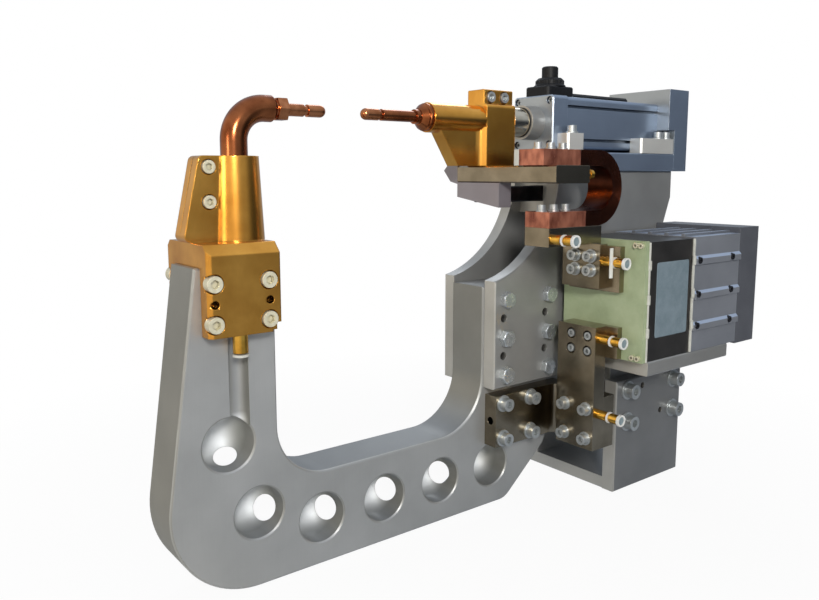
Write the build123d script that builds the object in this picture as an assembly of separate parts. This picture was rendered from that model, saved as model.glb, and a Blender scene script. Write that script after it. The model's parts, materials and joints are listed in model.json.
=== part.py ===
from build123d import *
import math
import os

# Frame: the origin is the end of the fixed cap tip. +X runs along the electrode line towards the
# actuator, +Y goes away from the transformer side and +Z is up. All sizes are millimetres.

# General fits
screw_gap = 0.15
run_gap = 0.05
slide_gap = 0.3
broken_edge = 1.5
overcut = 1.0

# Screws: a head's size as a share of the nominal size
head_share = 0.8
key_share = 0.46
washer_share = 1.05
washer_thick = 2.0

# Arm
arm_half = 28.8
arm_top_z = -154.0
arm_top_left_x = -164.0
arm_taper = 0.14
arm_bottom_z = -491.0
arm_heel_r = 94.0
throat_left_x = -80.0
throat_floor_z = -385.2
throat_left_r = 60.0
throat_right_r = 68.0
arm_leg_x = 207.2
arm_end_x = 327.0
arm_leg_top_z = -205.0
arm_slant_x = 252.0
arm_slant_z = -427.0
arm_slant_r = 24.0
arm_edge = 2.0

# Lightening pockets of the arm
pocket_r = 27.8
pocket_wall = 18.0
pocket_edge = 1.6
pocket_pitch = 84.25
pocket_row_z = -438.2
back_row_drop = 8.0
pocket_row_x = -28.5
front_row_count = 4
back_row_count = 3
heel_front_pockets = ((-134.3, -332.6), (-103.0, -411.5))
heel_back_pockets = ((-118.7, -375.0), (-64.5, -431.0))

# Hose groove on the front of the arm's left leg
groove_x = -121.5
groove_r = 10.5

# Side plates
plate_thick = 18.8
plate_left_x = 210.0
plate_bottom_z = -333.0
plate_foot_x = 375.0
plate_foot_end_x = 520.0
front_foot_z = -410.0
plate_top_z = -63.0
plate_rear_x = 568.0
plate_rear_z = -101.0
plate_waist_x = 551.0
plate_waist_z = -144.0
plate_arc_x = 181.0
plate_arc_z = -61.0
plate_arc_r = 139.0

# Screws and dowels through plates and arm
arm_screw = 12.0
arm_screw_columns = (229.0, 305.0)
arm_screw_rows = (-220.8, -269.5, -316.3)
arm_screw_bite = 15.0
dowel_r = 5.0
dowel_columns = (225.5, 300.0)
dowel_rows = (-243.7, -291.5)
dowel_depth = 8.0

# Fixed electrode holder
cheek_thick = 22.0
saddle_left_x = -159.5
saddle_right_x = -84.7
saddle_top_z = -131.0
saddle_bottom_z = -219.0
saddle_bevel = 10.0
saddle_notch = 9.0
post_x = -105.7
post_top_z = -48.0
post_top_r = 24.0
post_base_r = 28.0
ear_half = 12.0
ear_top_x = -148.0
ear_base_x = -166.0
ear_round = 6.0
slit_width = 1.2
socket_floor_z = -122.0
cheek_screw = 10.0
cheek_screw_columns = (-153.1, -96.8)
cheek_screw_rows = (-167.3, -206.0)
cheek_screw_bite = 14.0
cheek_pin_r = 4.0
cheek_pin_x = (-152.9, -96.3)
cheek_pin_z = -186.9
cheek_pin_depth = 8.0
ear_screw = 8.0
ear_screw_places = ((-138.4, -58.8), (-138.6, -92.5))
recess_share = 0.94
cheek_recess = 8.0
ear_recess = 5.5

# Water nipple under the holder's front cheek
nipple_x = -124.0
nipple_y = -40.0
nipple_r = 7.5
nipple_end_z = -241.5
nipple_bore_r = 4.0
nipple_thread_share = 0.75
nipple_seat = 8.0
nipple_cone = 6.0
nipple_lip = 1.0
ring_height = 4.0

# Fixed shank and tips
shank_r = 13.5
bend_r = 33.0
shank_end_x = -61.0
shank_edge = 3.5
shank_foot_z = -118.0
adapter_flat = 22.0
adapter_hex_x = -59.0
adapter_neck_x = -48.0
adapter_cone_x = -45.0
adapter_cone_r = 10.5
adapter_end_x = -27.0
adapter_collar_r = 9.5
tip_r = 6.5
tip_length = 22.0
tip_groove = 5.0
tip_groove_r = 4.9
electrode_gap = 47.1

# Moving electrode
ferrule_x = 121.0
ferrule_r = 8.5
shank_collar_x = 127.0
shank_collar_front_r = 9.5
shank_cone_x = 133.0
shank_cone_r = 15.2
shank_groove_x = 134.5
shank_groove_r = 14.0
shank_ring_x = 136.0
shank_collar_r = 16.3
shank_collar_end_x = 140.0
spigot_r = 11.0
spigot_depth = 68.0

# Moving holder
boss_r = 17.5
block_x = 221.5
block_end_x = 270.0
clamp_near = 12.0
clamp_wall = 8.0
clamp_top_z = 37.0
clamp_shoulder_z = 19.5
clamp_round = 4.5
rib_half = 10.0
rib_top_x = 150.5
rib_foot_x = 181.0
deck_z = -56.5
clamp_screw = 8.0
clamp_recess = 6.0
clamp_screw_places = ((232.7, 27.8), (255.5, 27.7))
rod_spigot_r = 11.0

# Actuator rod, nut and screw
tube_setback = 21.0
body_end_x = plate_rear_x - tube_setback
rod_r = 18.4
rod_end_x = 400.0
rod_bore_r = 11.0
rod_bore_x = 289.0
nut_r = 25.5
nut_length = 24.0
screw_r = 8.0
screw_front_x = 315.0
screw_past_tube = 3.0
screw_rear_x = body_end_x + screw_past_tube
run_out = 2.0
bearing_to_tube_end = 99.0
bearing_x = body_end_x - bearing_to_tube_end
bearing_length = 12.0
bearing_to_rotor = 16.0
rotor_x = bearing_x + bearing_to_rotor
rotor_length = 56.0
rotor_r = 18.0
air_gap = 0.6

# Actuator body
body_half = 35.0
body_round = 5.0
tube_step = 1.0
head_x = 321.0
head_end_x = 349.0
tube_bore_r = 28.0
bush_x = 298.0
bush_r = 22.0
wiper_depth = 2.0
wiper_lip = 0.7
tie_screw = 5.0
tie_screw_offset = 28.0
tie_screw_bite = 18.0
tie_recess = 7.5
side_groove_z = (21.0, -22.0)
side_groove_width = 4.0
side_groove_depth = 5.0
rear_half = 53.6
rear_overhang = 27.0
rear_rise = 19.0
base_x = 320.0
base_gap = 3.0

# Feet that clamp the actuator to its base plate
foot_front_x = 330.0
foot_front_end_x = 362.0
foot_front_z = -14.0
foot_past_tube = 15.0
foot_rear_length = 78.0
foot_rear_end_x = body_end_x + foot_past_tube
foot_rear_x = foot_rear_end_x - foot_rear_length
foot_rear_z = -17.0
foot_screw = 8.0
foot_screw_y = 45.0
foot_screw_bite = 18.0
foot_edge = 2.5
foot_room = 13.0
foot_end_screw_inset = 10.0
foot_screw_pitch = 18.0
foot_rear_last_screw_x = foot_rear_end_x - foot_end_screw_inset
foot_rear_screw_x = (foot_rear_last_screw_x - foot_screw_pitch, foot_rear_last_screw_x)

# Connector and cable duct
connector_x = 352.0
connector_half_x = 26.0
connector_half_y = 21.0
connector_base_height = 13.0
connector_round = 6.0
connector_foot_r = 21.0
connector_mid_r = 19.0
connector_mid_height = 11.6
connector_mid_edge = 3.5
connector_notch_r = 1.2
connector_notch_count = 18
plug_r = 10.8
plug_height = 26.7
duct_end_x = 500.0
duct_half_y = 15.0
duct_height = 7.0

# Carriage
bar_x = 219.0
bar_end_x = 277.0
bar_near_y = -133.0
bar_far_y = 34.0
bar_under_z = -77.0
carrier_near_y = -42.0
carrier_near_z = -107.0
carrier_far_z = -95.5
nose_outline = ((47.8, -76.0), (60.6, -62.0), (50.3, -52.0), (38.0, -54.5))
slide_half = 12.0
slide_top_z = -82.0
slide_under_z = -102.0
slide_x = 228.0
carrier_end_x = 240.0
nose_drop = 2.0
slide_end_x = 470.0
guide_x = 330.0
guide_end_x = 420.0
guide_under_z = -118.0

# Shunt between carriage and upper busbar
shunt_near_y = -119.0
shunt_far_y = -81.0
terminal_x = 213.0
terminal_thick = 18.5
terminal_length = 64.0
lower_terminal_x = 225.0
loop_x = 311.0
loop_inner_r = 26.75
terminal_screw = 6.0
terminal_screw_inset = 11.5
terminal_screw_pitch = 21.0
lower_screw_inset = 7.0
terminal_bar_bite = 14.0
edge_plate_thick = 8.0
loop_leaf_count = 3
loop_leaf_gap = 0.8

# Busbars
busbar_thick = 22.0
busbar_plate_x = 305.0
busbar_plate_end_x = 319.0
busbar_plate_near_y = -129.0
busbar_plate_far_y = -71.0
busbar_plate_z = -205.0
flange_end_x = 328.0
flange_near_y = -148.0
upper_flange_z = (-209.0, -153.0)
lower_flange_z = (-291.0, -252.0)
lower_bus_x = 299.0
lower_bus_near_y = -131.0
lower_bus_far_y = -72.0
lower_bus_bottom_z = -408.0
corner_x = 213.0
corner_end_x = 339.0
corner_thick = 20.0
corner_top_z = -342.0
corner_hole_r = 5.0
corner_hole_depth = 18.0
corner_round = 8.0
upper_screw = 8.0
upper_screw_y = (-92.0, -116.0)
upper_screw_z = (-165.5, -183.0)
small_screw = 6.0
small_screw_y = (-93.0, -118.6)
small_screw_z = (-264.0, -283.0)
small_recess = 5.5
small_recess_share = 1.15
long_screw = 8.0
long_screw_y = (-86.0, -120.0)
long_screw_z = (-356.0, -394.0)
corner_screw = 10.0
corner_screw_x = (225.0, 274.0)
corner_screw_z = (-352.0, -397.0)
corner_screw_bite = 38.0

# Transformer
trafo_near_y = -178.0
trafo_far_y = -55.0
trafo_top_z = -145.0
trafo_bottom_z = -292.0
end_plate_thick = 6.3
core_inset = 1.5
core_end_x = 430.0
profile_end_x = 535.0
cover_end_x = 583.0
cover_far_y = -47.8
cover_top_z = -137.5
cover_bottom_z = -295.0
rail_depth = 3.0
rail_slope = 3.5
rail_height = 11.0
rail_z = (-169.0, -213.5, -253.5)
fin_height = 3.0
fin_width = 5.0
fin_y = (-160.0, -135.0, -110.0, -85.0)
shelf_thick = 18.0
shelf_x = 340.0
shelf_end_x = 516.0
end_screw = 4.0
end_screw_inset = 5.5
end_screw_pitch = 7.5
side_screw = 5.0
side_recess = 4.0
side_screw_x = (438.0, 514.0)
side_screw_z = (-174.6, -218.0, -258.4)
side_screw_bite = 12.0

# Robot bracket
bracket_near_y = -108.0
bracket_far_y = -89.0
bracket_top_z = -338.0
bracket_bottom_z = -489.0
bracket_floor_z = -472.5
spacer_x = 385.0
spacer_end_x = 515.0
bracket_screw = 12.0
bracket_screw_x = (398.0, 500.0)
bracket_screw_z = (-352.0, -395.0)
bracket_pin_r = 4.0
bracket_pins = ((431.0, -351.0), (474.0, -393.6))
flange_x = 447.5
flange_y = -30.0
flange_circle_r = 50.0
flange_hole_r = 4.0
flange_hole_count = 6
flange_hole_depth = 12.0
flange_bore_r = 31.5
flange_bore_depth = 8.0

# Water fittings: axis along -Y, from the face they stand on
fitting_r = 6.0
fitting_bore_r = 3.0
fitting_waist_r = 4.6
fitting_length = 33.0
fitting_waist = 6.0
fitting_seat = 6.0
hose_r = 7.2
hose_length = 2.3
hose_push = 1.2
hose_wall = 2.0
ring_r = 6.8
ring_width = 1.8
ring_at = 17.0
bar_fitting_x = 232.0
bar_fitting_z = -141.5
plate_fitting_z = -171.8
lower_fitting_z = -267.0
foot_fitting_z = -362.0
clip_tail_half_z = 18.0
clip_tail_x = 4.5
clip_fitting = 1
carriage_fitting_y = -124.0
carriage_fitting_z = -67.0
carriage_fitting_length = 13.0


def block(x0, x1, y0, y1, z0, z1):
    """box between six planes"""
    middle = Pos((x0 + x1) / 2, (y0 + y1) / 2, (z0 + z1) / 2)
    return middle * Box(abs(x1 - x0), abs(y1 - y0), abs(z1 - z0))


def rod(start, end, radius):
    """round bar between two points"""
    line = Vector(*end) - Vector(*start)
    base = (Align.CENTER, Align.CENTER, Align.MIN)
    return Plane(origin=start, z_dir=line) * Cylinder(radius, line.length, align=base)


def outline(corners):
    """closed flat shape from corners (u, v, rounding radius)"""
    shape = make_face(Polyline([(u, v) for u, v, r in corners], close=True))
    for u, v, r in corners:
        if r:
            shape = fillet(shape.vertices().sort_by_distance((u, v, 0))[0], r)
    return shape


def sharp(points):
    """outline corners without rounding"""
    return outline([(u, v, 0) for u, v in points])


def slab_y(shape, y0, y1):
    """shape drawn in X and Z, thick from y0 to y1"""
    return extrude(Plane.XZ.offset(-y1) * shape, y1 - y0)


def slab_x(shape, x0, x1):
    """shape drawn in Y and Z, thick from x0 to x1"""
    return extrude(Plane.YZ.offset(x0) * shape, x1 - x0)


def slab_z(shape, z0, z1):
    """shape drawn in X and Y, thick from z0 to z1"""
    return extrude(Plane.XY.offset(z0) * shape, z1 - z0)


def turned(profile, start, direction):
    """solid of revolution; profile points are (distance along the axis, radius)"""
    points = [(radius, along) for along, radius in profile]
    shape = make_face(Polyline(points, close=True))
    return Plane(origin=start, z_dir=direction) * revolve(Plane.XZ * shape, Axis.Z)


def grid(firsts, seconds):
    """every pair of the two lists"""
    return [(a, b) for a in firsts for b in seconds]


def shifted(point, direction, distance):
    """point moved along a direction"""
    return tuple(p + d * distance for p, d in zip(point, direction))


def screws(seats, into, size, bite, washer=False):
    """socket head screws; each seat is the point on the clamped face, into the way they drive"""
    group = []
    lift = washer_thick if washer else 0
    for seat in seats:
        base = shifted(seat, into, -lift)
        top = shifted(base, into, -size)
        key = shifted(base, into, -size / 2)
        screw = rod(base, top, head_share * size) + rod(shifted(base, into, bite), base, size / 2)
        socket = Plane(origin=key, z_dir=shifted((0, 0, 0), into, -1)) * RegularPolygon(key_share * size, 6)
        group.append(screw - extrude(socket, size))
        if washer:
            ring = rod(base, seat, washer_share * size)
            hole = rod(base, seat, size / 2 + screw_gap)
            group.append(ring - hole)
    return group


def drilled(solid, seats, into, size, depth):
    """solid with a clearance hole for each screw"""
    for seat in seats:
        start = shifted(seat, into, -overcut)
        solid -= rod(start, shifted(seat, into, depth + overcut), size / 2 + screw_gap)
    return solid


def recessed(solid, seats, into, size, depth, share=recess_share):
    """solid with a round seat for each screw head, sunk by depth, and a ring of room round it"""
    for seat in seats:
        solid -= rod(shifted(seat, into, -depth - overcut), seat, share * size)
    return solid


def save(name, solids):
    """one file for one named piece"""
    if not isinstance(solids, list):
        solids = [solids]
    label = Compound(children=[solid for whole in solids for solid in whole.solids()])
    export_step(label, os.path.join("parts", name + ".step"))


def pocket(x, z, side):
    """ball-nosed pocket sunk from one face of the arm; side is -1 for the front, 1 for the back"""
    floor = pocket_wall + pocket_r
    lip = pocket_r + pocket_edge
    with BuildSketch() as half:
        with BuildLine():
            Polyline((0, -overcut), (lip + overcut, -overcut), (pocket_r, pocket_edge),
                     (pocket_r, pocket_wall))
            RadiusArc((pocket_r, pocket_wall), (0, floor), -pocket_r)
            Line((0, floor), (0, -overcut))
        make_face()
    ball = revolve(Plane.XZ * half.sketch, Axis.Z)
    return Plane(origin=(x, side * arm_half, z), z_dir=(0, -side, 0)) * ball


def arm_screw_seats(y):
    return [(x, y, z) for x, z in grid(arm_screw_columns, arm_screw_rows)]


def dowel_seats(y):
    return [(x, y, z) for x, z in grid(dowel_columns, dowel_rows)]


plate_y = arm_half + plate_thick
cheek_y = arm_half + cheek_thick
corner_y = arm_half + corner_thick
into_y = (0, 1, 0)
into_x = (1, 0, 0)
into_z = (0, 0, -1)

corner_seats = [(x, -corner_y, z) for x, z in grid(corner_screw_x, corner_screw_z)]
cheek_seats = [(x, -cheek_y, z) for x, z in grid(cheek_screw_columns, cheek_screw_rows)]
bracket_seats = [(x, bracket_near_y, z) for x, z in grid(bracket_screw_x, bracket_screw_z)]


# Arm
def make_arm():
    drop = arm_top_z - arm_bottom_z
    shape = outline([
        (arm_top_left_x, arm_top_z, 0),
        (arm_top_left_x - arm_taper * drop, arm_bottom_z, arm_heel_r),
        (arm_slant_x, arm_bottom_z, arm_slant_r),
        (arm_end_x, arm_slant_z, arm_slant_r),
        (arm_end_x, arm_leg_top_z, 0),
        (arm_leg_x, arm_leg_top_z, 0),
        (arm_leg_x, throat_floor_z, throat_right_r),
        (throat_left_x, throat_floor_z, throat_left_r),
        (throat_left_x, arm_top_z, 0),
    ])
    arm = slab_y(shape, -arm_half, arm_half)
    rims = arm.faces().filter_by(Axis.Y).edges()
    arm = chamfer(rims, arm_edge)
    row = [(pocket_row_x + pocket_pitch * i, pocket_row_z) for i in range(front_row_count)]
    for x, z in list(heel_front_pockets) + row:
        arm -= pocket(x, z, -1)
    low = pocket_row_z - back_row_drop
    row = [(pocket_row_x + pocket_pitch * (i + 0.5), low) for i in range(back_row_count)]
    for x, z in list(heel_back_pockets) + row:
        arm -= pocket(x, z, 1)
    arm -= rod((groove_x, -arm_half, saddle_bottom_z + overcut),
               (groove_x, -arm_half, heel_front_pockets[0][1]), groove_r)
    arm = drilled(arm, arm_screw_seats(-arm_half), into_y, arm_screw, 2 * arm_half)
    arm = drilled(arm, dowel_seats(-arm_half), into_y, 2 * dowel_r, 2 * arm_half)
    arm = drilled(arm, corner_seats, into_y, corner_screw, corner_screw_bite)
    for side in (-1, 1):
        seats = [(x, side * cheek_y, z) for x, y, z in cheek_seats]
        arm = drilled(arm, seats, (0, -side, 0), cheek_screw, cheek_thick + cheek_screw_bite)
    save("c_arm", arm)


# Side plates
def plate_outline(foot_z):
    return sharp([
        (plate_left_x, plate_bottom_z),
        (plate_foot_x, plate_bottom_z),
        (plate_foot_x, foot_z),
        (plate_foot_end_x, foot_z),
        (plate_foot_end_x, plate_bottom_z),
        (plate_waist_x, plate_waist_z),
        (plate_rear_x, plate_rear_z),
        (plate_rear_x, plate_top_z),
        (plate_left_x, plate_top_z),
    ])


def make_side_plates():
    bow = rod((plate_arc_x, -2 * plate_y, plate_arc_z), (plate_arc_x, 2 * plate_y, plate_arc_z), plate_arc_r)
    front = slab_y(plate_outline(front_foot_z), -plate_y, -arm_half) - bow
    front = chamfer(front.faces().sort_by(Axis.Y)[0].edges(), broken_edge)
    front = drilled(front, arm_screw_seats(-plate_y), into_y, arm_screw, plate_thick)
    front = drilled(front, dowel_seats(-plate_y), into_y, 2 * dowel_r, plate_thick)
    front = drilled(front, [(x, -plate_y, z) for x, y, z in bracket_seats], into_y, bracket_screw,
                    plate_thick)
    save("front_side_plate", front)
    back = slab_y(plate_outline(bracket_floor_z), arm_half, plate_y) - bow
    back = chamfer(back.faces().sort_by(Axis.Y)[-1].edges(), broken_edge)
    back = drilled(back, arm_screw_seats(arm_half), into_y, arm_screw, arm_screw_bite)
    back = drilled(back, dowel_seats(arm_half), into_y, 2 * dowel_r, plate_thick)
    save("back_side_plate", back)
    bite = plate_thick + 2 * arm_half + arm_screw_bite - screw_gap
    save("arm_bolts", screws(arm_screw_seats(-plate_y), into_y, arm_screw, bite, washer=True))
    pins = [rod((x, dowel_depth - plate_y, z), (x, plate_y - dowel_depth, z), dowel_r)
            for x, y, z in dowel_seats(0)]
    save("dowel_pins", pins)


# Fixed electrode holder
def make_fixed_holder():
    saddle = block(saddle_left_x, saddle_right_x, -cheek_y, cheek_y, saddle_bottom_z, saddle_top_z)
    saddle -= block(saddle_left_x - overcut, saddle_right_x + overcut, -arm_half, arm_half,
                    saddle_bottom_z - overcut, arm_top_z)
    saddle = chamfer(saddle.edges().filter_by(Axis.X).group_by(Axis.Z)[-1], saddle_bevel)
    saddle = chamfer(saddle.edges().filter_by(Axis.Z).group_by(Axis.X)[0], 2 * arm_edge)
    for side in (-1, 1):
        face = side * cheek_y
        inner = side * (cheek_y - saddle_notch)
        notch = block(saddle_right_x - saddle_notch, saddle_right_x + overcut, inner, face + side * overcut,
                      saddle_bottom_z - overcut, saddle_bottom_z + saddle_notch)
        saddle -= notch
    height = post_top_z - saddle_top_z
    post = turned([(0, 0), (0, post_base_r), (height, post_top_r), (height, 0)], (post_x, 0, saddle_top_z),
                  (0, 0, 1))
    ear = outline([
        (ear_base_x, saddle_top_z, ear_round),
        (ear_top_x, post_top_z, ear_round),
        (post_x, post_top_z, 0),
        (post_x, saddle_top_z, 0),
    ])
    holder = saddle + post + slab_y(ear, -ear_half, ear_half)
    holder -= rod((post_x, 0, socket_floor_z), (post_x, 0, post_top_z + overcut), shank_r + screw_gap)
    slit_half = slit_width / 2
    holder -= block(ear_base_x - overcut, post_x, -slit_half, slit_half, socket_floor_z,
                    post_top_z + overcut)
    for side in (-1, 1):
        seats = [(x, side * (cheek_y - cheek_recess), z) for x, y, z in cheek_seats]
        holder = drilled(holder, seats, (0, -side, 0), cheek_screw, cheek_thick)
        holder = recessed(holder, seats, (0, -side, 0), cheek_screw, cheek_recess)
        pins = [(x, side * cheek_y, cheek_pin_z) for x in cheek_pin_x]
        holder = drilled(holder, pins, (0, -side, 0), 2 * cheek_pin_r, cheek_pin_depth)
    ear_seats = [(x, ear_recess - ear_half, z) for x, z in ear_screw_places]
    holder = drilled(holder, ear_seats, into_y, ear_screw, 2 * ear_half)
    holder = recessed(holder, ear_seats, into_y, ear_screw, ear_recess)
    holder -= rod((nipple_x, nipple_y, saddle_bottom_z - overcut),
                  (nipple_x, nipple_y, saddle_bottom_z + nipple_seat),
                  nipple_r * nipple_thread_share + screw_gap)
    save("fixed_holder", holder)
    group = screws(ear_seats, into_y, ear_screw, 2 * ear_half - 2 * ear_recess)
    for side in (-1, 1):
        seats = [(x, side * (cheek_y - cheek_recess), z) for x, y, z in cheek_seats]
        bite = cheek_thick - cheek_recess + cheek_screw_bite - screw_gap
        group += screws(seats, (0, -side, 0), cheek_screw, bite)
    save("fixed_holder_bolts", group)
    depth = saddle_bottom_z - nipple_end_z
    thread = nipple_r * nipple_thread_share
    body = turned([
        (-nipple_seat + overcut, 0), (-nipple_seat + overcut, thread), (0, thread), (0, nipple_r),
        (depth - ring_height, nipple_r), (depth - ring_height, nipple_bore_r + nipple_lip),
        (depth - ring_height - nipple_cone, nipple_bore_r),
        (0, nipple_bore_r), (0, 0),
    ], (nipple_x, nipple_y, saddle_bottom_z), into_z)
    save("holder_water_nipple", body)


# Fixed shank and both tips
def make_fixed_electrode():
    path = Polyline((post_x, 0, shank_foot_z), (post_x, 0, 0), (shank_end_x, 0, 0))
    corner = path.vertices().sort_by_distance((post_x, 0, 0))[0]
    route = Wire(path.edges()).fillet_2d(bend_r, [corner])
    section = Plane(origin=(post_x, 0, shank_foot_z), z_dir=(0, 0, 1)) * Circle(shank_r)
    shank = sweep(section, path=route)
    save("fixed_shank", chamfer(shank.faces().sort_by(Axis.X)[-1].edges(), shank_edge))
    save("fixed_tip_adapter", make_adapter())
    save("fixed_cap_tip", make_cap(0, 1))


def make_cap(front_x, facing):
    """cap tip with a round nose at front_x; facing is the way the nose points along X"""
    with BuildSketch() as half:
        with BuildLine():
            Polyline((0, 0), (tip_length, 0), (tip_length, tip_r), (tip_r, tip_r))
            RadiusArc((tip_r, tip_r), (0, 0), -tip_r)
        make_face()
    nose = revolve(half.sketch, Axis.X)
    return Pos(front_x, 0, 0) * Rot(0, 0, 180 if facing > 0 else 0) * nose


def make_adapter():
    hexagon = Plane.YZ * RegularPolygon(adapter_flat / 2, 6, major_radius=False)
    body = extrude(Pos(adapter_hex_x, 0, 0) * hexagon, adapter_neck_x - adapter_hex_x)
    body += rod((shank_end_x, 0, 0), (adapter_hex_x, 0, 0), adapter_collar_r)
    cone = adapter_cone_x - adapter_neck_x
    body += turned([(0, 0), (0, adapter_cone_r), (cone, tip_r), (cone, 0)], (adapter_neck_x, 0, 0), into_x)
    body += rod((adapter_cone_x, 0, 0), (adapter_end_x, 0, 0), tip_r)
    return body + rod((adapter_end_x, 0, 0), (-tip_length, 0, 0), tip_groove_r)


# Moving electrode
def make_moving_electrode():
    save("moving_cap_tip", make_cap(electrode_gap, -1))
    seat = electrode_gap + tip_length
    shank = turned([
        (seat, 0), (seat, tip_groove_r), (seat + tip_groove, tip_groove_r), (seat + tip_groove, tip_r),
        (ferrule_x, tip_r), (ferrule_x, ferrule_r), (shank_collar_x, ferrule_r),
        (shank_collar_x, shank_collar_front_r), (shank_cone_x, shank_cone_r),
        (shank_groove_x, shank_groove_r),
        (shank_ring_x, shank_collar_r), (shank_collar_end_x, shank_collar_r), (shank_collar_end_x, spigot_r),
        (shank_collar_end_x + spigot_depth, spigot_r), (shank_collar_end_x + spigot_depth, 0),
    ], (0, 0, 0), into_x)
    save("moving_shank", shank)
    save("moving_holder", make_moving_holder())


def make_moving_holder():
    boss = rod((shank_collar_end_x, 0, 0), (block_x, 0, 0), boss_r)
    lower = block(block_x, block_end_x, -boss_r, boss_r, deck_z, 0)
    neck = outline([
        (-boss_r, 0, 0), (boss_r, 0, 0), (boss_r, clamp_top_z, broken_edge),
        (-clamp_near, clamp_top_z, broken_edge),
        (-clamp_near, clamp_shoulder_z, 0), (-boss_r, clamp_shoulder_z, clamp_round),
    ])
    rib_top = boss_r / 2
    front = sharp([(rib_top_x, -rib_top), (rib_foot_x, deck_z), (block_x, deck_z), (block_x, -rib_top)])
    flare = boss_r - rib_half
    width = slab_z(outline([
        (rib_top_x - overcut, -rib_half, 0), (block_x - flare, -rib_half, flare * 1.5),
        (block_x, -boss_r, 0),
        (block_x, boss_r, 0), (block_x - flare, rib_half, flare * 1.5), (rib_top_x - overcut, rib_half, 0),
    ]), deck_z - overcut, 0)
    web = slab_y(front, -boss_r, boss_r) & width
    holder = boss + lower + slab_x(neck, block_x, block_end_x) + web
    spigot_end = shank_collar_end_x + spigot_depth
    holder -= rod((shank_collar_end_x - overcut, 0, 0), (spigot_end + overcut, 0, 0), spigot_r + screw_gap)
    holder -= rod((block_x + overcut, 0, 0), (block_end_x + overcut, 0, 0), rod_spigot_r + screw_gap)
    slit_half = slit_width / 2
    holder -= block(block_x + clamp_wall, block_end_x + overcut, -slit_half, slit_half, 0,
                    clamp_top_z + overcut)
    seats = [(x, clamp_recess - clamp_near, z) for x, z in clamp_screw_places]
    holder = drilled(holder, seats, into_y, clamp_screw, clamp_near + boss_r)
    return recessed(holder, seats, into_y, clamp_screw, clamp_recess)


# Actuator rod, ball nut, ball screw and motor
def make_drive():
    rod_body = rod((block_end_x, 0, 0), (rod_end_x, 0, 0), rod_r)
    rod_body += rod((block_x + run_out, 0, 0), (block_end_x, 0, 0), rod_spigot_r)
    save("actuator_rod", rod_body - rod((rod_bore_x, 0, 0), (rod_end_x + overcut, 0, 0), rod_bore_r))
    running = screw_r + run_gap
    nut = rod((rod_end_x, 0, 0), (rod_end_x + nut_length, 0, 0), nut_r)
    save("ball_nut", nut - rod((rod_end_x - overcut, 0, 0), (rod_end_x + nut_length + overcut, 0, 0),
                               running))
    save("ball_screw", rod((screw_front_x, 0, 0), (screw_rear_x, 0, 0), screw_r))
    bearing_end = bearing_x + bearing_length
    bearing = rod((bearing_x, 0, 0), (bearing_end, 0, 0), tube_bore_r - screw_gap)
    save("screw_bearing", bearing - rod((bearing_x - overcut, 0, 0), (bearing_end + overcut, 0, 0), running))
    rotor_end = rotor_x + rotor_length
    rotor = rod((rotor_x, 0, 0), (rotor_end, 0, 0), rotor_r)
    save("motor_rotor", rotor - rod((rotor_x - overcut, 0, 0), (rotor_end + overcut, 0, 0),
                                    screw_r + screw_gap))
    stator = rod((rotor_x, 0, 0), (rotor_end, 0, 0), tube_bore_r - screw_gap)
    save("motor_stator", stator - rod((rotor_x - overcut, 0, 0), (rotor_end + overcut, 0, 0),
                                      rotor_r + air_gap))


# Actuator housing
tube_half = body_half - tube_step
base_top_z = -body_half - base_gap
rear_end_x = plate_rear_x + rear_overhang
connector_base_z = body_half + connector_base_height


def square_outline(half):
    return outline([(y * half, z * half, body_round) for y, z in ((-1, -1), (1, -1), (1, 1), (-1, 1))])


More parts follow.
